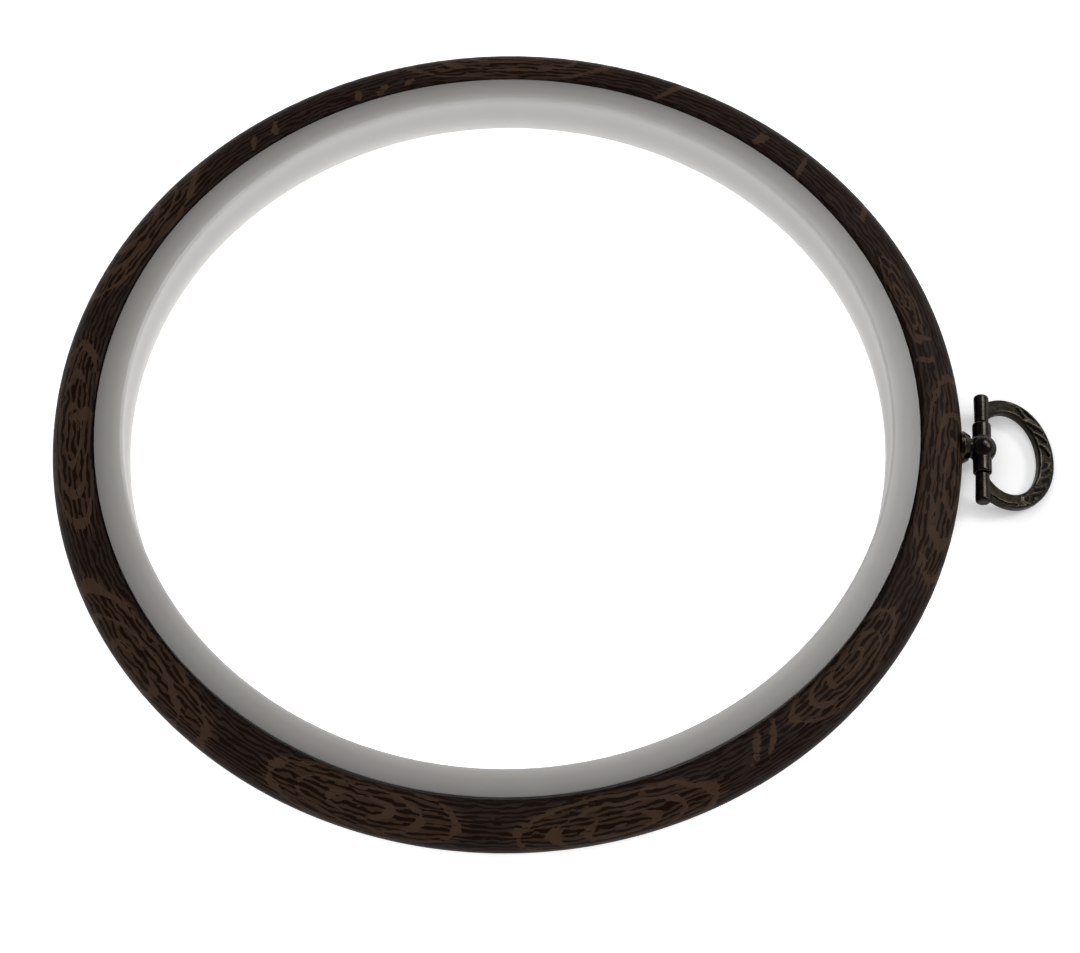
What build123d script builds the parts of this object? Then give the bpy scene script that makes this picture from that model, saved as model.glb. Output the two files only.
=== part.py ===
import os
from math import asin, atan2, cos, hypot, sin

from build123d import *

# Embroidery hoop with a flexible outer ring, in millimetres. It lies on its back: the Z axis is the
# axis of both rings, Z = 0 is the face that it lies on, and the hanger is on the +X side.

# Rigid inner ring. Its outside diameter is the nominal size of the hoop, 7 inches.
nominal_diameter = 177.8
inner_ring_wall = 6.05
inner_ring_height = 10.9
ridge_round = 0.6
front_edge_round = 0.25
lip_reach = 3.4
lip_thickness = 1.2
lip_round = 0.3

# Flexible outer ring, half-round outside. It rests on the lip, flush with the front.
ring_clearance = 0.25
ring_width = 9.35
ring_bulge = 5.3
ring_inner_round = 0.9
rosette_seat_depth = 0.6
seat_margin = 0.1

# Domed backplate between the ring and the stud
rosette_radius = 3.55
rosette_thickness = 2.1
rosette_rim_thickness = 0.8
rosette_crown_radius = 2.75
rosette_round = 0.35

# Cast stud: a neck, a ball and a collar on each side of it, with cast fillets between them
ball_radius = 3.1
neck_radius = 2.15
bar_stand_off = 2.8
collar_radius = 2.02
collar_reach = 6.1
collar_round = 0.5
neck_fillet = 0.25
collar_fillet = 0.4

# Straight pin through the stud, on which the bail turns
pin_radius = 0.8
pin_engagement = 4.6
pin_chamfer = 0.2
pin_running_clearance = 0.05
pin_end_clearance = 0.3

# Cast bail: a D-shaped bow between two tapered barrels, measured from the bar's axis
barrel_radius = 1.65
barrel_neck_radius = 1.5
barrel_length = 6.85
barrel_gap = 0.2
barrel_end_round = 0.7
bow_reach = 16.95
bow_half_span = 13.15
bow_centre = 6.1
bow_tip_width = 3.6
bow_side_width = 3.2
bow_thickness = 2.2
bow_round = 0.5
bow_swing_clearance = 0.35

# Screw and washer that hold the hanger from inside the outer ring
screw_radius = 1.25
screw_clearance = 0.1
thread_clearance = 0.03
screw_bite = 1.6
bite_clearance = 0.2
screw_head_radius = 2.4
screw_head_thickness = 1.5
screw_head_round = 0.5
screw_slot_width = 0.6
screw_slot_depth = 0.7
washer_radius = 3.2
washer_thickness = 0.5
washer_margin = 0.2
head_sink = 0.5

# What the bail's tip clears of the face that the hoop lies on, and the overrun of every cut
floor_gap = 0.02
cut_overrun = 1.0

# Places that follow from the sizes above
inner_ring_radius = nominal_diameter / 2
bore_radius = inner_ring_radius - inner_ring_wall
lip_radius = inner_ring_radius + lip_reach
ring_inner_radius = inner_ring_radius + ring_clearance
ring_outer_radius = ring_inner_radius + ring_width
bulge_start = ring_outer_radius - ring_bulge
ring_half_height = (inner_ring_height - lip_thickness) / 2
bar_height = lip_thickness + ring_half_height
seat_x = ring_outer_radius - rosette_seat_depth
rosette_face_x = seat_x + rosette_thickness
bar_x = rosette_face_x + bar_stand_off
barrel_start = collar_reach + barrel_gap
washer_seat_x = ring_inner_radius + head_sink + screw_head_thickness + washer_thickness
head_seat_x = washer_seat_x - washer_thickness
screw_hole_radius = screw_radius + screw_clearance

# The bail leans down until the rounded edge of its tip just clears the face that the hoop lies on.
tip_arm = bow_reach - bow_round
tip_rise = bow_thickness / 2 - bow_round
tip_drop = bar_height - bow_round - floor_gap
bail_lean = asin(tip_drop / hypot(tip_arm, tip_rise)) - atan2(tip_rise, tip_arm)

bar_centre = (bar_x, 0, bar_height)
hanger_axis = Axis((0, 0, bar_height), (1, 0, 0))
bar_axis = Axis(bar_centre, (0, 1, 0))
bar_plane = Plane(origin=bar_centre, z_dir=(0, 1, 0))
barrel_profile_plane = Plane(origin=(bar_x, barrel_start, bar_height), x_dir=(0, 1, 0), z_dir=(1, 0, 0))
barrel_mouth_plane = Plane(origin=(bar_x, barrel_start, bar_height), z_dir=(0, -1, 0))
bail_plane = Plane(
    origin=bar_centre,
    x_dir=(cos(bail_lean), 0, -sin(bail_lean)),
    z_dir=(sin(bail_lean), 0, cos(bail_lean)),
)

os.makedirs("parts", exist_ok=True)


def outward_plane(x):
    """Plane across the hanger's axis at distance x from the ring's axis, facing outwards."""
    return Plane(origin=(x, 0, bar_height), x_dir=(0, 1, 0), z_dir=(1, 0, 0))


def inward_plane(x):
    """Plane across the hanger's axis at distance x from the ring's axis, facing the ring's axis."""
    return Plane(origin=(x, 0, bar_height), x_dir=(0, 1, 0), z_dir=(-1, 0, 0))


# Inner ring: one section with its lip, turned about the axis
with BuildPart() as inner_ring:
    with BuildSketch(Plane.XZ):
        with BuildLine():
            Polyline(
                (bore_radius, 0),
                (lip_radius, 0),
                (lip_radius, lip_thickness),
                (inner_ring_radius, lip_thickness),
                (inner_ring_radius, inner_ring_height),
                (bore_radius, inner_ring_height),
                close=True,
            )
        make_face()
        fillet(vertices().sort_by(Axis.X)[-2:], radius=lip_round)
        fillet(vertices().group_by(Axis.Y)[-1].sort_by(Axis.X)[0], radius=ridge_round)
        fillet(vertices().group_by(Axis.Y)[-1].sort_by(Axis.X)[-1], radius=front_edge_round)
    revolve(axis=Axis.Z)

inner_ring.part.label = "inner_ring"
export_step(inner_ring.part, "parts/inner_ring.step")

# Outer ring: flat inside and half-round outside, with a flat for the rosette and a stepped hole for
# the hanger's screw
with BuildPart() as outer_ring:
    with BuildSketch(Plane.XZ):
        with BuildLine():
            EllipticalCenterArc(
                (bulge_start, bar_height), ring_bulge, ring_half_height, start_angle=-90, arc_size=180
            )
            Polyline(
                (bulge_start, inner_ring_height),
                (ring_inner_radius, inner_ring_height),
                (ring_inner_radius, lip_thickness),
                (bulge_start, lip_thickness),
            )
        make_face()
        fillet(vertices().sort_by(Axis.X)[:2], radius=ring_inner_round)
    revolve(axis=Axis.Z)
    with BuildSketch(outward_plane(seat_x)):
        Circle(rosette_radius + seat_margin)
    extrude(amount=rosette_seat_depth + cut_overrun, mode=Mode.SUBTRACT)
    with Locations(inward_plane(ring_inner_radius)):
        CounterBoreHole(
            radius=screw_hole_radius,
            counter_bore_radius=washer_radius + washer_margin,
            counter_bore_depth=washer_seat_x - ring_inner_radius,
            depth=ring_width + cut_overrun,
        )

outer_ring.part.label = "outer_ring"
export_step(outer_ring.part, "parts/outer_ring.step")

# Rosette: a rim and a low dome, turned about the hanger's axis, with the screw's hole
with BuildPart() as hanger_rosette:
    with BuildSketch(Plane.XZ):
        with BuildLine():
            Polyline(
                (seat_x, bar_height + screw_hole_radius),
                (seat_x, bar_height + rosette_radius),
                (seat_x + rosette_rim_thickness, bar_height + rosette_radius),
                (rosette_face_x, bar_height + rosette_crown_radius),
                (rosette_face_x, bar_height + screw_hole_radius),
                close=True,
            )
        make_face()
        fillet(vertices().group_by(Axis.Y)[-1].sort_by(Axis.X)[-1], radius=rosette_round)
        fillet(vertices().group_by(Axis.X)[-1].sort_by(Axis.Y)[-1], radius=rosette_round)
    revolve(axis=hanger_axis)

hanger_rosette.part.label = "hanger_rosette"
export_step(hanger_rosette.part, "parts/hanger_rosette.step")

# Stud: the collars run through the ball and the neck joins it to the rosette. What the ball would
# reach past the rosette's face is cut off, and both bores follow.
with BuildPart() as hanger_stud:
    with BuildSketch(bar_plane):
        Circle(collar_radius)
    extrude(amount=collar_reach, both=True)
    fillet(edges().filter_by(GeomType.CIRCLE), radius=collar_round)
    with Locations(bar_centre):
        Sphere(radius=ball_radius)
    fillet(edges(Select.LAST).filter_by(GeomType.CIRCLE), radius=collar_fillet)
    with BuildSketch(outward_plane(rosette_face_x)):
        Circle(neck_radius)
    extrude(amount=bar_stand_off)
    split(bisect_by=outward_plane(rosette_face_x), keep=Keep.TOP)
    neck_seam = edges().filter_by(GeomType.CIRCLE).group_by(Axis.X)[1]
    fillet(neck_seam, radius=neck_fillet)
    with Locations(inward_plane(rosette_face_x)):
        Hole(radius=screw_radius + thread_clearance, depth=screw_bite + bite_clearance)
    with BuildSketch(bar_plane):
        Circle(pin_radius)
    extrude(amount=collar_reach, both=True, mode=Mode.SUBTRACT)

hanger_stud.part.label = "hanger_stud"
export_step(hanger_stud.part, "parts/hanger_stud.step")

# Pin: pressed through the stud, with an end in each barrel
with BuildPart() as hanger_pin:
    with BuildSketch(bar_plane):
        Circle(pin_radius)
    extrude(amount=barrel_start + pin_engagement, both=True)
    chamfer(edges().filter_by(GeomType.CIRCLE), length=pin_chamfer)

hanger_pin.part.label = "hanger_pin"
export_step(hanger_pin.part, "parts/hanger_pin.step")

# Bail: one half of the bow is drawn in its own leaning plane and ends inside a barrel, which has a
# blind bore for the pin. The other half is its mirror image.
with BuildPart() as hanger_bail:
    with BuildSketch(bail_plane):
        with Locations((bow_centre, 0)):
            Ellipse(bow_reach - bow_centre, bow_half_span)
            Ellipse(
                bow_reach - bow_centre - bow_tip_width, bow_half_span - bow_side_width, mode=Mode.SUBTRACT
            )
        Rectangle(bow_reach, 2 * bow_half_span, align=(Align.MAX, Align.CENTER), mode=Mode.SUBTRACT)
        Rectangle(2 * bow_reach, bow_half_span, align=(Align.CENTER, Align.MAX), mode=Mode.SUBTRACT)
        Rectangle(2 * (collar_radius + bow_swing_clearance), 2 * barrel_start, mode=Mode.SUBTRACT)
    extrude(amount=bow_thickness / 2, both=True)
    fillet(edges().filter_by(GeomType.ELLIPSE), radius=bow_round)
    with BuildSketch(barrel_profile_plane):
        with BuildLine():
            Polyline(
                (0, 0),
                (0, barrel_neck_radius),
                (barrel_length, barrel_radius),
                (barrel_length, 0),
                close=True,
            )
        make_face()
    revolve(axis=bar_axis)
    fillet(edges().filter_by(GeomType.CIRCLE).sort_by(Axis.Y)[-1], radius=barrel_end_round)
    with Locations(barrel_mouth_plane):
        Hole(radius=pin_radius + pin_running_clearance, depth=pin_engagement + pin_end_clearance)
    mirror(about=Plane.XZ)

hanger_bail.part.label = "hanger_bail"
export_step(hanger_bail.part, "parts/hanger_bail.step")

# Washer in the bottom of the stepped hole
with BuildPart() as screw_washer:
    with BuildSketch(outward_plane(head_seat_x)):
        Circle(washer_radius)
        Circle(screw_hole_radius, mode=Mode.SUBTRACT)
    extrude(amount=washer_thickness)

screw_washer.part.label = "screw_washer"
export_step(screw_washer.part, "parts/screw_washer.step")

# Screw: a slotted pan head on the washer and a shank that ends in the stud
with BuildPart() as fixing_screw:
    with BuildSketch(inward_plane(head_seat_x)):
        Circle(screw_head_radius)
    extrude(amount=screw_head_thickness)
    fillet(edges().group_by(Axis.X)[0], radius=screw_head_round)
    with BuildSketch(outward_plane(head_seat_x)):
        Circle(screw_radius)
    extrude(amount=rosette_face_x + screw_bite - head_seat_x)
    with BuildSketch(inward_plane(head_seat_x - screw_head_thickness + screw_slot_depth)):
        Rectangle(2 * screw_head_radius + cut_overrun, screw_slot_width)
    extrude(amount=screw_slot_depth + cut_overrun, mode=Mode.SUBTRACT)

fixing_screw.part.label = "fixing_screw"
export_step(fixing_screw.part, "parts/fixing_screw.step")
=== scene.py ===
from math import asin, atan2, cos, exp, hypot, pi, radians, sin

import bmesh
import bpy
from mathutils import Matrix, Vector
from mathutils.geometry import intersect_point_line


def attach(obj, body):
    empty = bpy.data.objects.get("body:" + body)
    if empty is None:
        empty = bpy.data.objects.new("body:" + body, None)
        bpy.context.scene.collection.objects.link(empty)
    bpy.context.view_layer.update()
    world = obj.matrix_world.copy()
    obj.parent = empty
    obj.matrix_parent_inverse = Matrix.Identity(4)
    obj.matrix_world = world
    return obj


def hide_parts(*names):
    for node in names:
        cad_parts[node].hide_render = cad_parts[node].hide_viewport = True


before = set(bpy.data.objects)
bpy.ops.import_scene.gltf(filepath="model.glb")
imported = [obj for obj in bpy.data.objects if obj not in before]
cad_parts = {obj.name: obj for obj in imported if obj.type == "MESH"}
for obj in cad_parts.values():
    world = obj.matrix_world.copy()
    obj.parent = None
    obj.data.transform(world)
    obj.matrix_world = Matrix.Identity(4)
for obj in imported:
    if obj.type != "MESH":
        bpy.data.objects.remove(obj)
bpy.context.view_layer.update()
mm = 0.001

# Inner ring: one rigid moulding in white, slightly translucent plastic, with a flat front, a plain
# bore and a lip behind that the outer ring rests on. Its greys hold painted shade and light: the
# front is painted darker towards its edge against the dark ring, and the bore paler towards its
# foot.
ring_front_height = 10.9
inner_ring_radius = 88.9
face_and_wall = 17.0
# Painted shade and light: greys from the front's outer edge, over the front and down the bore
greys_with_painted_shade = (
    (0.0, 0.18), (0.14, 0.265), (0.21, 0.30), (0.28, 0.37), (0.33, 0.43), (0.36, 0.49),
    (0.39, 0.585), (0.44, 0.63), (0.53, 0.61), (0.65, 0.59), (0.76, 0.625), (0.88, 0.745),
    (1.0, 0.94),
)
face_end = 0.3
face_warmth = 0.04
wall_warmth = 0.02
covered_white = (0.62, 0.608, 0.595)


def new_finish(name):
    """A material with one shader, ready for its nodes."""
    finish = bpy.data.materials.new(name)
    finish.use_nodes = True
    return finish, finish.node_tree, finish.node_tree.nodes["Principled BSDF"]


def feed(tree, socket, value):
    """Gives a socket a number or colour, or links another node's output to it."""
    if isinstance(value, bpy.types.NodeSocket):
        tree.links.new(value, socket)
    elif value is not None:
        socket.default_value = value


def reckon(tree, operation, first, second=None, third=None):
    """One step of arithmetic, as a node."""
    node = tree.nodes.new("ShaderNodeMath")
    node.operation = operation
    for socket, value in zip(node.inputs, (first, second, third)):
        feed(tree, socket, value)
    return node.outputs[0]


def distance(tree, along, aside):
    """How long a flat vector with these two parts is."""
    aside_square = reckon(tree, "MULTIPLY", aside, aside)
    return reckon(tree, "SQRT", reckon(tree, "MULTIPLY_ADD", along, along, aside_square))


def ease(tree, value, start, end, low=0.0, high=1.0):
    """Goes smoothly from low to high as value goes from start to end."""
    node = tree.nodes.new("ShaderNodeMapRange")
    node.interpolation_type = "SMOOTHSTEP"
    for socket, number in zip(node.inputs, (value, start, end, low, high)):
        feed(tree, socket, number)
    return node.outputs[0]


def mottle(tree, place, scale, detail=2.0, roughness=0.5):
    """Soft noise from 0 to 1."""
    node = tree.nodes.new("ShaderNodeTexNoise")
    feed(tree, node.inputs["Vector"], place)
    node.inputs["Scale"].default_value = scale
    node.inputs["Detail"].default_value = detail
    node.inputs["Roughness"].default_value = roughness
    return node.outputs[0]


def centred(tree, noise, most):
    """Noise from 0 to 1, turned into a number from -most to most."""
    return reckon(tree, "MULTIPLY_ADD", noise, 2 * most, -most)


def tint(tree, share, first, second):
    """The first colour where share is 0, and the second where it is 1."""
    node = tree.nodes.new("ShaderNodeMix")
    node.data_type = "RGBA"
    feed(tree, node.inputs[0], share)
    for socket, colour in ((node.inputs[6], first), (node.inputs[7], second)):
        feed(tree, socket, (*colour, 1.0) if isinstance(colour, tuple) else colour)
    return node.outputs[2]


def in_millimetres(tree):
    """Object coordinates in millimetres."""
    node = tree.nodes.new("ShaderNodeVectorMath")
    node.operation = "SCALE"
    feed(tree, node.inputs[0], tree.nodes.new("ShaderNodeTexCoord").outputs["Object"])
    node.inputs["Scale"].default_value = 1.0 / mm
    return node.outputs[0]


def parts_of(tree, vector):
    """The x, y and z of a vector."""
    node = tree.nodes.new("ShaderNodeSeparateXYZ")
    feed(tree, node.inputs[0], vector)
    return node.outputs


def relief(tree, shader, height, depth):
    """Lets the light see a height map, depth millimetres deep."""
    node = tree.nodes.new("ShaderNodeBump")
    node.inputs["Strength"].default_value = 1.0
    node.inputs["Distance"].default_value = depth * mm
    feed(tree, node.inputs["Height"], height)
    feed(tree, shader.inputs["Normal"], node.outputs[0])


white, tree, shader = new_finish("white moulded plastic")
place = in_millimetres(tree)
x, y, z = parts_of(tree, place)
radius = distance(tree, x, y)
inwards = reckon(tree, "SUBTRACT", inner_ring_radius, radius)
downwards = reckon(tree, "SUBTRACT", ring_front_height, z)
uneven = centred(tree, mottle(tree, place, scale=0.09, detail=3.0), 0.4)
from_edge = reckon(tree, "ADD", reckon(tree, "ADD", inwards, downwards), uneven)
# The ramp paints the shade and light of these greys into the white plastic's colour
ramp = tree.nodes.new("ShaderNodeValToRGB")
feed(tree, ramp.inputs[0], reckon(tree, "DIVIDE", from_edge, face_and_wall))
for stop, grey in greys_with_painted_shade[1:-1]:
    ramp.color_ramp.elements.new(stop)
for point, (stop, grey) in zip(ramp.color_ramp.elements, greys_with_painted_shade):
    warmth = face_warmth if stop < face_end else wall_warmth
    point.color = (grey, grey * (1 - warmth), grey * (1 - 2 * warmth), 1.0)
covered = reckon(
    tree, "MULTIPLY", ease(tree, radius, start=87.6, end=88.6), ease(tree, z, start=10.4, end=9.4)
)
feed(tree, shader.inputs["Base Color"], tint(tree, covered, ramp.outputs[0], covered_white))
shader.inputs["Roughness"].default_value = 0.38
shader.inputs["Subsurface Weight"].default_value = 0.15
shader.inputs["Subsurface Radius"].default_value = (1.0, 0.95, 0.9)
shader.inputs["Subsurface Scale"].default_value = 1.5 * mm
relief(tree, shader, mottle(tree, place, scale=0.5), depth=0.03)

inner_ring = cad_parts["inner_ring"]
inner_ring.data.materials[0] = white

# Outer ring: a soft, half-round vinyl extrusion, joined end to end and stretched over the inner
# ring. A dark wood-grain film is printed on it: short dark strokes along the ring and, every few
# centimetres, a knot of pale rings drawn out along it.
bulge_start = 93.2
bulge = 5.3
half_height = 4.85
middle_height = ring_front_height - half_height
bulge_turn = 5.08
film_end = 0.93
bare_start = 0.87
grain_radius = 96.0
print_sway = 0.015
print_wander = 1.2
far_off = 3.0
knot_bend = 0.26
knot_flatness = 0.25
rings_in_knot = 3.0
rings_broken_up = 0.5
rings_frayed = 0.25
flecks_frayed = 1.8
lines_wavering = 1.8
lines_weight = 0.95
strokes_in_ground = 0.495
strokes_in_knot = 0.01
strokes_in_pale = -0.30
strokes_pressed = 0.4
ground_colours = ((0.0150, 0.0096, 0.0080), (0.0270, 0.0176, 0.0142))
knot_colours = ((0.0270, 0.0155, 0.0098), (0.0440, 0.0250, 0.0155))
pale_colour = (0.0460, 0.0270, 0.0175)
stroke_colour = (0.0085, 0.0036, 0.0021)
# Painted shade for the strip along the film's inner edge, in the crevice against the white ring
painted_crevice_shade = (0.0060, 0.0034, 0.0026)
bare_vinyl = (0.0200, 0.0140, 0.0115)

# Each knot: degrees round the ring, millimetres across the film from the ring's widest place,
# half length and half height. The first nine are seen in the photo.
knots = (
    (94.7, 5.0, 24.0, 6.5),
    (155.4, 5.0, 20.0, 6.0),
    (189.0, 7.6, 23.0, 5.0),
    (223.6, 3.6, 21.4, 7.6),
    (257.1, 6.4, 19.7, 6.0),
    (288.2, 3.9, 19.7, 6.3),
    (323.0, 8.6, 16.5, 4.5),
    (354.0, 4.5, 24.0, 7.0),
    (22.0, 9.5, 12.0, 2.2),
    (118.0, -6.0, 21.0, 6.0),
    (172.0, -7.5, 20.0, 5.5),
    (240.0, -7.0, 22.0, 6.0),
    (305.0, -7.0, 20.0, 6.2),
    (40.0, -6.5, 22.0, 6.5),
)

# Each pale fleck between the knots: degrees round the ring, millimetres across the film, half
# length, half width and slant
flecks = (
    (12.0, 9.5, 2.3, 0.8, 78.0),
    (15.5, 8.6, 2.6, 0.7, 62.0),
    (36.8, 5.5, 3.2, 0.9, 118.0),
    (47.6, 9.0, 4.6, 0.7, 112.0),
    (55.5, 9.0, 2.2, 1.1, 70.0),
    (70.6, 7.6, 4.6, 0.8, 50.0),
    (110.0, 10.2, 1.7, 0.8, 10.0),
    (114.0, 10.4, 1.8, 1.0, 30.0),
    (117.5, 9.8, 1.6, 0.9, 60.0),
    (130.8, 8.8, 1.9, 0.8, 55.0),
    (134.9, 9.4, 2.6, 0.7, 56.0),
    (176.0, 8.8, 3.6, 0.9, 50.0),
    (186.0, 9.6, 2.8, 1.7, 110.0),
    (307.0, 8.2, 3.6, 0.8, 52.0),
    (309.6, 8.6, 3.8, 0.8, 50.0),
)

# The film's own coordinates: the angle round the ring, and across in millimetres round the bulge
vinyl, tree, shader = new_finish("wood grain vinyl")
place = in_millimetres(tree)
x, y, z = parts_of(tree, place)
radius = distance(tree, x, y)
angle = reckon(tree, "ARCTAN2", y, x)
above = reckon(tree, "SUBTRACT", z, middle_height)
beyond = reckon(tree, "SUBTRACT", radius, bulge_start)
upward = reckon(tree, "DIVIDE", above, half_height)
outward = reckon(tree, "DIVIDE", reckon(tree, "MAXIMUM", beyond, 0.0), bulge)
depth = distance(tree, upward, outward)
round_bulge = reckon(tree, "MULTIPLY", reckon(tree, "ARCTAN2", upward, outward), bulge_turn)
inward = reckon(tree, "MULTIPLY", reckon(tree, "SIGN", above), reckon(tree, "MINIMUM", beyond, 0.0))
across = reckon(tree, "SUBTRACT", round_bulge, inward)
east = reckon(tree, "MULTIPLY", reckon(tree, "DIVIDE", x, radius), grain_radius)
north = reckon(tree, "MULTIPLY", reckon(tree, "DIVIDE", y, radius), grain_radius)


def grain(along, over, across, detail=1.0):
    """Noise in strokes that are about along millimetres long and over millimetres wide."""
    vector = tree.nodes.new("ShaderNodeCombineXYZ")
    for socket, value, length in zip(vector.inputs, (east, north, across), (along, along, over)):
        feed(tree, socket, reckon(tree, "DIVIDE", value, length))
    return mottle(tree, vector.outputs[0], 1.0, detail)


def new_mark(name, inputs, outputs):
    """A node group for one printed mark, with what it is given and what is taken from it."""
    group = bpy.data.node_groups.new(name, "ShaderNodeTree")
    for way, labels in (("INPUT", inputs), ("OUTPUT", outputs)):
        for label in labels:
            group.interface.new_socket(label, in_out=way, socket_type="NodeSocketFloat")
    given = group.nodes.new("NodeGroupInput").outputs
    taken = group.nodes.new("NodeGroupOutput").inputs
    return group, given, taken


def off_middle(group, given):
    """How far a place is from the mark's middle, along the ring and across it."""
    turned = reckon(group, "SUBTRACT", given["Angle"], given["Mark angle"])
    sideways = reckon(group, "MULTIPLY", reckon(group, "WRAP", turned, pi, -pi), grain_radius)
    return sideways, reckon(group, "SUBTRACT", given["Across"], given["Mark across"])


def stamp(group, *numbers):
    """Prints one mark over those before it."""
    node = tree.nodes.new("ShaderNodeGroup")
    node.node_tree = group
    for socket, number in zip(node.inputs, numbers):
        feed(tree, socket, number)
    return node.outputs


# One knot: how far a place is from its middle, 1 on its rim, and how far it bends the strokes
knot, given, taken = new_mark(
    "knot",
    (
        "Angle", "Across", "Nearest", "Bend",
        "Mark angle", "Mark across", "Half length", "Half height",
    ),
    ("Nearest", "Bend"),
)
sideways, lift = off_middle(knot, given)
sideways = reckon(knot, "DIVIDE", sideways, given["Half length"])
rise = reckon(knot, "DIVIDE", lift, given["Half height"])
reach = distance(knot, rise, sideways)
feed(knot, taken["Nearest"], reckon(knot, "MINIMUM", given["Nearest"], reach))
sideways_left = reckon(knot, "SUBTRACT", 1.0, reckon(knot, "MULTIPLY", sideways, sideways))
rise_left = reckon(knot, "MULTIPLY_ADD", reckon(knot, "MULTIPLY", rise, rise), -knot_flatness, 1.0)
hump = reckon(knot, "MULTIPLY", lift, reckon(knot, "MAXIMUM", sideways_left, 0.0))
hump = reckon(knot, "MULTIPLY", hump, reckon(knot, "MAXIMUM", rise_left, 0.0))
feed(knot, taken["Bend"], reckon(knot, "MULTIPLY_ADD", hump, knot_bend, given["Bend"]))

# One fleck: a short slanting stroke
fleck, given, taken = new_mark(
    "fleck",
    (
        "Angle", "Across", "Nearest",
        "Mark angle", "Mark across", "Half length", "Half width", "Slant",
    ),
    ("Nearest",),
)
sideways, lift = off_middle(fleck, given)
sine = reckon(fleck, "SINE", given["Slant"])
cosine = reckon(fleck, "COSINE", given["Slant"])
lift_down = reckon(fleck, "MULTIPLY", lift, sine)
lift_over = reckon(fleck, "MULTIPLY", lift, cosine)
sideways_over = reckon(fleck, "MULTIPLY", sideways, sine)
down_stroke = reckon(fleck, "MULTIPLY_ADD", sideways, cosine, lift_down)
over_stroke = reckon(fleck, "SUBTRACT", lift_over, sideways_over)
down_stroke = reckon(fleck, "DIVIDE", down_stroke, given["Half length"])
over_stroke = reckon(fleck, "DIVIDE", over_stroke, given["Half width"])
reach = distance(fleck, down_stroke, over_stroke)
feed(fleck, taken["Nearest"], reckon(fleck, "MINIMUM", given["Nearest"], reach))

# The knots and flecks, a little out of true as on the real film
wander = centred(tree, grain(9.0, 9.0, across), print_wander)
sway = centred(tree, grain(7.0, 7.0, reckon(tree, "ADD", across, 50.0)), print_sway)
spot = (reckon(tree, "ADD", angle, sway), reckon(tree, "ADD", across, wander))
nearest, bend = far_off, 0.0
for knot_angle, *knot_size in knots:
    nearest, bend = stamp(knot, *spot, nearest, bend, radians(knot_angle), *knot_size)
nearest_fleck = far_off
for fleck_angle, *fleck_size, slant in flecks:
    place_and_size = (radians(fleck_angle), *fleck_size, radians(slant))
    nearest_fleck = stamp(fleck, *spot, nearest_fleck, *place_and_size)["Nearest"]

# Dark strokes follow the bent grain, one to the millimetre and broken up by noise
bent = reckon(tree, "SUBTRACT", across, bend)
lines = reckon(tree, "MULTIPLY_ADD", grain(5.0, 2.0, bent), lines_wavering, bent)
lines = reckon(tree, "SUBTRACT", reckon(tree, "PINGPONG", lines, 0.5), 0.25)
strokes = reckon(tree, "MULTIPLY_ADD", lines, lines_weight, grain(3.4, 0.55, bent, detail=1.6))
streaks = grain(8.0, 1.1, bent)
patches = centred(tree, grain(5.0, 2.6, across), 0.5)
fray = centred(tree, grain(1.5, 0.6, bent), 0.5)
inside = ease(tree, nearest, start=1.20, end=1.06)
ring_place = reckon(tree, "PINGPONG", reckon(tree, "MULTIPLY", nearest, rings_in_knot), 0.5)
ring_place = reckon(tree, "MULTIPLY_ADD", patches, -rings_broken_up, ring_place)
ring_place = reckon(tree, "MULTIPLY_ADD", fray, rings_frayed, ring_place)
pale_ring = reckon(tree, "MULTIPLY", ease(tree, ring_place, start=0.16, end=0.10), inside)
frayed_fleck = reckon(tree, "MULTIPLY_ADD", fray, flecks_frayed, nearest_fleck)
pale = reckon(tree, "MAXIMUM", pale_ring, ease(tree, frayed_fleck, start=1.1, end=0.85))
stroke_limit = reckon(tree, "MULTIPLY_ADD", inside, strokes_in_knot, strokes_in_ground)
stroke_limit = reckon(tree, "MULTIPLY_ADD", pale, strokes_in_pale, stroke_limit)
dark_stroke = ease(tree, reckon(tree, "SUBTRACT", strokes, stroke_limit), start=0.015, end=-0.015)
film = tint(tree, inside, tint(tree, streaks, *ground_colours), tint(tree, streaks, *knot_colours))
film = tint(tree, pale, film, pale_colour)
film = tint(tree, dark_stroke, film, stroke_colour)
# Painted shade: the film is darkened in a strip along its inner edge, in the crevice by the white
# ring
film = tint(tree, ease(tree, across, start=10.3, end=11.3, high=0.30), film, painted_crevice_shade)
film = tint(tree, ease(tree, depth, start=film_end, end=bare_start), film, bare_vinyl)
feed(tree, shader.inputs["Base Color"], film)
shader.inputs["Roughness"].default_value = 0.45
shader.inputs["Specular IOR Level"].default_value = 0.035
pressed = reckon(tree, "MULTIPLY", dark_stroke, strokes_pressed)
skin = reckon(tree, "SUBTRACT", mottle(tree, place, scale=0.35, detail=3.0), pressed)
relief(tree, shader, skin, depth=0.03)

outer_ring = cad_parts["outer_ring"]
outer_ring.data.materials[0] = vinyl

# Rosette, stud and pin: small zinc castings and a pin, plated and then darkened to an antique
# bronze. The finish is rubbed back a little in patches, where warmer metal shows.
dark_bronze = (0.024, 0.021, 0.017)
worn_bronze = (0.040, 0.034, 0.026)


def bronze_finish(name, smoothest, roughest):
    """Antique bronze, and its colour before that goes to the shader."""
    finish, tree, shader = new_finish(name)
    place = in_millimetres(tree)
    rubbed = mottle(tree, place, scale=0.55, detail=4.0, roughness=0.6)
    film = tint(tree, ease(tree, rubbed, start=0.42, end=0.68), dark_bronze, worn_bronze)
    shader.inputs["Metallic"].default_value = 1.0
    dulled = mottle(tree, place, scale=1.6, detail=3.0)
    dulled = ease(tree, dulled, start=0.3, end=0.7, low=smoothest, high=roughest)
    feed(tree, shader.inputs["Roughness"], dulled)
    relief(tree, shader, mottle(tree, place, scale=1.2), depth=0.006)
    return finish, tree, shader, film


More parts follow.
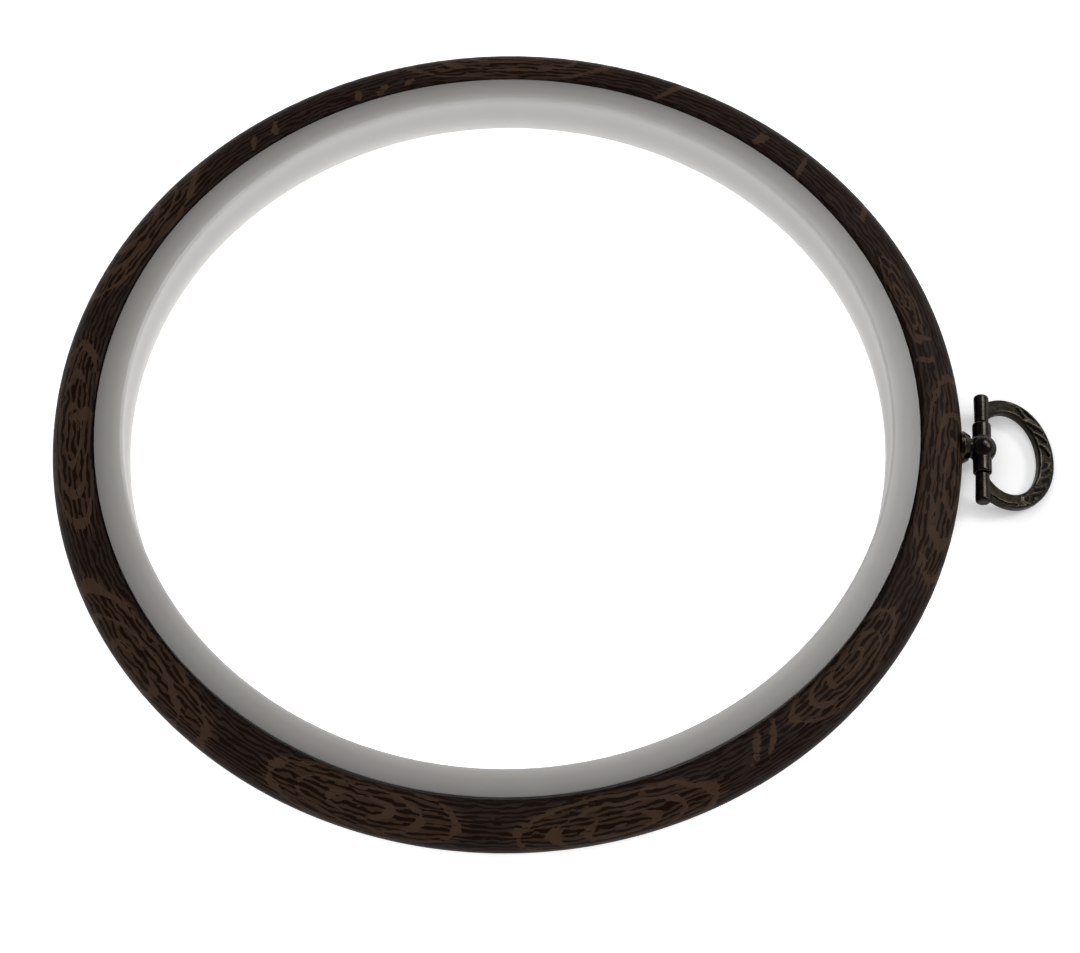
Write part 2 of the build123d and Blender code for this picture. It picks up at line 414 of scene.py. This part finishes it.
bronze, tree, shader, film = bronze_finish("antique bronze", smoothest=0.22, roughest=0.28)
feed(tree, shader.inputs["Base Color"], film)

for name in ("hanger_rosette", "hanger_stud", "hanger_pin"):
    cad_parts[name].data.materials[0] = bronze

# Bail: one zinc casting, a D-shaped bow between two tapered barrels that run on the pin. Leaves are
# cast in low relief on the front of the bow, and their hollows keep the dark of the finish.
bar_place = (102.8, 0.0, middle_height)
bow_centre = 6.1
bow_reach = 16.95
bow_half_span = 13.15
bow_tip_width = 3.6
bow_side_width = 3.2
bow_thickness = 2.2
bow_edge_round = 0.5
bow_root = 0.95
bow_segments = 160
floor_gap = 0.02
barrel_start = 6.3
barrel_end = 13.15
barrel_neck_radius = 1.5
barrel_radius = 1.65
barrel_end_round = 0.7
barrel_segments = 64
bore_radius = 0.85
bore_end = 11.2
touching = 0.001
rim_margin = 0.01
sharp_angle = 1.0
skin_grain = 0.1
hollow_bronze = (0.012, 0.0104, 0.0082)
ridge_bronze = (0.056, 0.048, 0.037)

# The bow leans down until the rounded edge of its tip just clears the face that the hoop lies on
tip_drop = middle_height - bow_edge_round - floor_gap
tip_arm = bow_reach - bow_edge_round
tip_rise = bow_thickness / 2 - bow_edge_round
bow_lean = asin(tip_drop / hypot(tip_arm, tip_rise)) - atan2(tip_rise, tip_arm)


def round_edges(shape, edges, radius, segments):
    bmesh.ops.bevel(
        shape, geom=edges, offset=radius, offset_type="OFFSET", segments=segments, profile=0.5,
        affect="EDGES", material=-1,
    )


def smooth(shape, factor):
    bmesh.ops.smooth_vert(
        shape, verts=shape.verts, factor=factor, use_axis_x=True, use_axis_y=True, use_axis_z=True
    )


bow = bmesh.new()
outer_axes = (bow_reach - bow_centre, bow_half_span)
inner_axes = (outer_axes[0] - bow_tip_width, outer_axes[1] - bow_side_width)
for axes in (outer_axes, inner_axes):
    ellipse = bmesh.ops.create_circle(bow, segments=bow_segments, radius=1.0)["verts"]
    bmesh.ops.scale(bow, vec=(*axes, 1.0), verts=ellipse)
bmesh.ops.bridge_loops(bow, edges=bow.edges)
bmesh.ops.translate(bow, vec=(bow_centre, 0.0, -bow_thickness / 2), verts=bow.verts)
bmesh.ops.bisect_plane(
    bow, geom=bow.verts[:] + bow.edges[:] + bow.faces[:], plane_co=(bow_root, 0.0, 0.0),
    plane_no=(1.0, 0.0, 0.0), clear_inner=True,
)
raised = bmesh.ops.extrude_face_region(bow, geom=bow.faces[:])["geom"]
raised_verts = [piece for piece in raised if isinstance(piece, bmesh.types.BMVert)]
bmesh.ops.translate(bow, vec=(0.0, 0.0, bow_thickness), verts=raised_verts)
bmesh.ops.recalc_face_normals(bow, faces=bow.faces)
rims = [
    edge for edge in bow.edges
    if len(edge.link_faces) == 2 and edge.calc_face_angle() > sharp_angle
    and min(vert.co.x for vert in edge.verts) >= bow_root
    and max(vert.co.x for vert in edge.verts) > bow_root + touching
    and abs(edge.verts[0].co.z - edge.verts[1].co.z) < touching
]
round_edges(bow, rims, bow_edge_round, segments=3)

for side in (1.0, -1.0):
    barrel = bmesh.new()
    profile = [
        barrel.verts.new((0.0, side * along, out))
        for along, out in (
            (bore_end, 0.0), (bore_end, bore_radius), (barrel_start, bore_radius),
            (barrel_start, barrel_neck_radius), (barrel_end, barrel_radius), (barrel_end, 0.0),
        )
    ]
    walls = [barrel.edges.new(pair) for pair in zip(profile, profile[1:])]
    bmesh.ops.spin(
        barrel, geom=profile + walls, cent=(0.0, 0.0, 0.0), axis=(0.0, 1.0, 0.0),
        dvec=(0.0, 0.0, 0.0), angle=2 * pi, steps=barrel_segments, use_merge=True,
    )
    bmesh.ops.remove_doubles(barrel, verts=barrel.verts, dist=touching)
    bmesh.ops.recalc_face_normals(barrel, faces=barrel.faces)
    end_rim = [
        edge for edge in barrel.edges
        if all(abs(abs(vert.co.y) - barrel_end) < touching for vert in edge.verts)
        and all(hypot(vert.co.x, vert.co.z) > barrel_radius - rim_margin for vert in edge.verts)
    ]
    round_edges(barrel, end_rim, barrel_end_round, segments=6)
    shell = bpy.data.meshes.new("barrel")
    barrel.to_mesh(shell)
    bow.from_mesh(shell)
    barrel.free()
bmesh.ops.triangulate(bow, faces=bow.faces)
rough_cast = bpy.data.meshes.new("hanger_bail_cast")
bow.to_mesh(rough_cast)
bow.free()

# The three shells become one skin, as a casting has
bail = bpy.data.objects.new("bail", rough_cast)
bpy.context.collection.objects.link(bail)
remesh = bail.modifiers.new("skin", "REMESH")
remesh.mode = "VOXEL"
remesh.voxel_size = skin_grain
remeshed = bail.evaluated_get(bpy.context.evaluated_depsgraph_get())
one_skin = bpy.data.meshes.new_from_object(remeshed)
bail.modifiers.clear()
bail.data = one_skin
casting = bmesh.new()
casting.from_mesh(bail.data)
for _ in range(3):
    smooth(casting, 0.5)

# Each cast stroke is given by its points, as degrees round the bow's middle and the share of the
# way from its inner edge to its outer edge, then by its height and its half width.
strokes_cast = (
    (((79, 0.72), (74, 0.53), (68, 0.41), (58, 0.52), (53, 0.62)), 0.16, 0.30),
    (((80, 0.55), (75, 0.39), (70, 0.21)), -0.22, 0.26),
    (((71, 0.73), (65, 0.68), (58, 0.79)), -0.30, 0.28),
    (((63, 0.28), (55, 0.45), (46, 0.78)), 0.16, 0.30),
    (((62, 0.13), (51, 0.32), (41, 0.70)), -0.30, 0.28),
    (((45, 0.27), (37, 0.54), (29, 0.77)), 0.16, 0.30),
    (((43, 0.15), (36, 0.38), (28, 0.62)), -0.30, 0.28),
    (((27, 0.28), (22, 0.55), (12, 0.74)), 0.16, 0.30),
    (((24, 0.18), (17, 0.40), (9, 0.60)), -0.28, 0.26),
    (((-16, 0.31), (-11, 0.52), (-1, 0.70)), 0.16, 0.28),
    (((-14, 0.20), (-4, 0.42)), -0.22, 0.24),
    (((-19, 0.40), (-12, 0.66)), -0.26, 0.24),
    (((-30, 0.30), (-26, 0.52), (-19, 0.68)), 0.16, 0.28),
    (((-34, 0.38), (-25, 0.70)), -0.28, 0.26),
    (((-51, 0.18), (-44, 0.42), (-34, 0.68)), 0.16, 0.28),
    (((-54, 0.27), (-40, 0.72)), -0.28, 0.26),
    (((-55, 0.45), (-48, 0.64)), 0.14, 0.26),
    (((-64, 0.68), (-60, 0.49), (-50, 0.72)), -0.28, 0.26),
    (((-60, 0.74), (-59, 0.76)), 0.20, 0.40),
    (((-66, 0.27), (-74, 0.32), (-75, 0.53), (-72, 0.75), (-69, 0.84)), 0.16, 0.28),
    (((-72, 0.55), (-68, 0.42)), -0.26, 0.28),
    (((-112, 0.86), (-104, 0.88), (-94, 0.86), (-84, 0.80)), -0.22, 0.22),
    (((112, 0.86), (104, 0.86), (94, 0.84), (86, 0.78)), -0.12, 0.24),
)
carved_from = 1.3
front_slope = 0.25
full_slope = 0.75
stroke_fade = 3


def on_bow(degrees_round, share):
    """The point on the bow's front at that angle and share of its width."""
    turned = radians(degrees_round)
    inner, outer = (
        1.0 / hypot(cos(turned) / axes[0], sin(turned) / axes[1])
        for axes in (inner_axes, outer_axes)
    )
    away = inner + (outer - inner) * share
    return Vector((bow_centre + away * cos(turned), away * sin(turned), 0.0))


def to_line(flat, line):
    """How far a point is from a line of straight pieces."""
    gaps = []
    for start, end in zip(line, line[1:]):
        foot, share = intersect_point_line(flat, start, end)
        foot = start if share < 0 else end if share > 1 else foot
        gaps.append((flat - foot).length)
    return min(gaps)


casting.normal_update()
hollow = casting.verts.layers.float.new("hollow")
front = [vert for vert in casting.verts if vert.normal.z > front_slope and vert.co.x > carved_from]
lifted = dict.fromkeys(front, 0.0)
for points, height, half_width in strokes_cast:
    line = [on_bow(*point) for point in points]
    reach = stroke_fade * half_width
    low = [min(point[axis] for point in line) - reach for axis in (0, 1)]
    high = [max(point[axis] for point in line) + reach for axis in (0, 1)]
    for vert in front:
        if low[0] < vert.co.x < high[0] and low[1] < vert.co.y < high[1]:
            gap = to_line(Vector((vert.co.x, vert.co.y, 0.0)), line)
            if gap < reach:
                lifted[vert] += height * exp(-((gap / half_width) ** 2))
for vert, rise in lifted.items():
    facing = (vert.normal.z - front_slope) / (full_slope - front_slope)
    vert.co.z += rise * min(max(facing, 0.0), 1.0)
    vert[hollow] = rise
smooth(casting, 0.3)
bmesh.ops.rotate(
    casting, verts=casting.verts, cent=(0.0, 0.0, 0.0), matrix=Matrix.Rotation(bow_lean, 3, "Y")
)
bmesh.ops.translate(casting, vec=bar_place, verts=casting.verts)
bmesh.ops.scale(casting, vec=(mm, mm, mm), verts=casting.verts)
casting.to_mesh(bail.data)
casting.free()
for face in bail.data.polygons:
    face.use_smooth = True

cast_bronze, tree, shader, film = bronze_finish(
    "antique bronze in relief", smoothest=0.26, roughest=0.33
)
carved = tree.nodes.new("ShaderNodeAttribute")
carved.attribute_name = "hollow"
film = tint(tree, ease(tree, carved.outputs["Fac"], start=-0.04, end=-0.2), film, hollow_bronze)
film = tint(tree, ease(tree, carved.outputs["Fac"], start=0.05, end=0.16), film, ridge_bronze)
feed(tree, shader.inputs["Base Color"], film)
bail.data.materials.clear()
bail.data.materials.append(cast_bronze)
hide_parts("hanger_bail")
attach(bail, "hanger_bail")

# Screw and washer: bright zinc steel, turned and stamped. They sit in the stepped hole inside the
# outer ring and hold the hanger.
zinc_colours = ((0.50, 0.50, 0.50), (0.62, 0.61, 0.58))

zinc, tree, shader = new_finish("bright zinc")
place = in_millimetres(tree)
film = tint(tree, mottle(tree, place, scale=1.2, detail=3.0), *zinc_colours)
feed(tree, shader.inputs["Base Color"], film)
shader.inputs["Metallic"].default_value = 1.0
dulled = ease(tree, mottle(tree, place, scale=3.0), start=0.3, end=0.7, low=0.26, high=0.38)
feed(tree, shader.inputs["Roughness"], dulled)
relief(tree, shader, mottle(tree, place, scale=4.0), depth=0.01)
for name in ("fixing_screw", "screw_washer"):
    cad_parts[name].data.materials[0] = zinc

# Floor: a white sweep that the hoop lies on. It glows towards the camera, as a lit studio floor
# that is printed as plain white, and less at the hanger, where the photo keeps a soft shadow.
floor_half_size = 2.5
hanger_middle = 112.0
glow_edge = 200.0
far_floor = 900.0

floor_mesh = bpy.data.meshes.new("floor")
sweep = bmesh.new()
bmesh.ops.create_grid(sweep, x_segments=1, y_segments=1, size=floor_half_size)
sweep.to_mesh(floor_mesh)
sweep.free()
floor = bpy.data.objects.new("floor", floor_mesh)
bpy.context.collection.objects.link(floor)
paper, tree, shader = new_finish("white paper")
shader.inputs["Base Color"].default_value = (0.85, 0.85, 0.85, 1.0)
shader.inputs["Roughness"].default_value = 0.9
shader.inputs["Specular IOR Level"].default_value = 0.0
shader.inputs["Emission Color"].default_value = (1.0, 1.0, 1.0, 1.0)
x, y, _ = parts_of(tree, in_millimetres(tree))
far_glow = ease(tree, distance(tree, x, y), glow_edge, far_floor)
from_hanger = distance(tree, reckon(tree, "SUBTRACT", x, hanger_middle), y)
shown = ease(tree, from_hanger, start=14.0, end=32.0, low=0.31, high=0.75)
mirrored = ease(tree, from_hanger, start=20.0, end=60.0, low=0.0, high=0.5)
rays = tree.nodes.new("ShaderNodeLightPath").outputs
mirror_rays = reckon(tree, "MAXIMUM", rays["Is Glossy Ray"], rays["Is Transmission Ray"])
shown = reckon(tree, "MULTIPLY", rays["Is Camera Ray"], reckon(tree, "MAXIMUM", far_glow, shown))
mirrored = reckon(tree, "MULTIPLY", mirror_rays, reckon(tree, "MAXIMUM", far_glow, mirrored))
feed(tree, shader.inputs["Emission Strength"], reckon(tree, "ADD", shown, mirrored))
floor_mesh.materials.append(paper)

# Light: a white wall all round under a dimmer ceiling, and three soft boxes. The far light is only
# mirrored in the bronze and casts nothing, and the overhead one lights without being mirrored.
wall_top = 0.48
wall_foot = 0.18
ceiling_strength = 0.14
lamps_aim = Vector((0.03, 0.0, 0.0))

studio = bpy.data.worlds.new("studio")
bpy.context.scene.world = studio
studio.use_nodes = True
tree = studio.node_tree
around = tree.nodes.new("ShaderNodeTexCoord").outputs["Generated"]
wall = ease(tree, parts_of(tree, around)[2], wall_top, wall_foot, low=ceiling_strength)
feed(tree, tree.nodes["Background"].inputs["Strength"], wall)
tree.nodes["Background"].inputs["Color"].default_value = (1.0, 1.0, 1.0, 1.0)

for name, place, size, power, mirrored, cast in (
    ("far light", (0.40, 0.49, 0.79), 0.36, 4.0, True, False),
    ("side light", (0.72, 0.13, 0.71), 0.26, 2.6, True, True),
    ("overhead", (-0.25, -0.20, 1.4), 1.5, 13.0, False, True),
):
    lamp = bpy.data.lights.new(name, "AREA")
    lamp.shape = "SQUARE"
    lamp.size = size
    lamp.energy = power
    holder = bpy.data.objects.new(name, lamp)
    bpy.context.collection.objects.link(holder)
    holder.location = place
    holder.rotation_mode = "QUATERNION"
    holder.rotation_quaternion = (lamps_aim - holder.location).to_track_quat("-Z", "Y")
    holder.visible_glossy = mirrored
    holder.visible_diffuse = cast

# Camera: at the photograph's place, fitted to the ellipses of both rings
camera_place = Vector((0.0253, -0.2272, 0.4026))
camera_aim = Vector((0.00839, -0.01696, 0.0109))

camera_data = bpy.data.cameras.new("camera")
camera = bpy.data.objects.new("camera", camera_data)
bpy.context.collection.objects.link(camera)
camera_data.lens = 70.0
camera_data.sensor_width = 36.0
camera_data.sensor_fit = "HORIZONTAL"
camera_data.clip_start = 0.01
camera.location = camera_place
camera.rotation_mode = "QUATERNION"
camera.rotation_quaternion = (camera_aim - camera_place).to_track_quat("-Z", "Y")
bpy.context.scene.camera = camera

bpy.context.scene.view_settings.view_transform = "Standard"
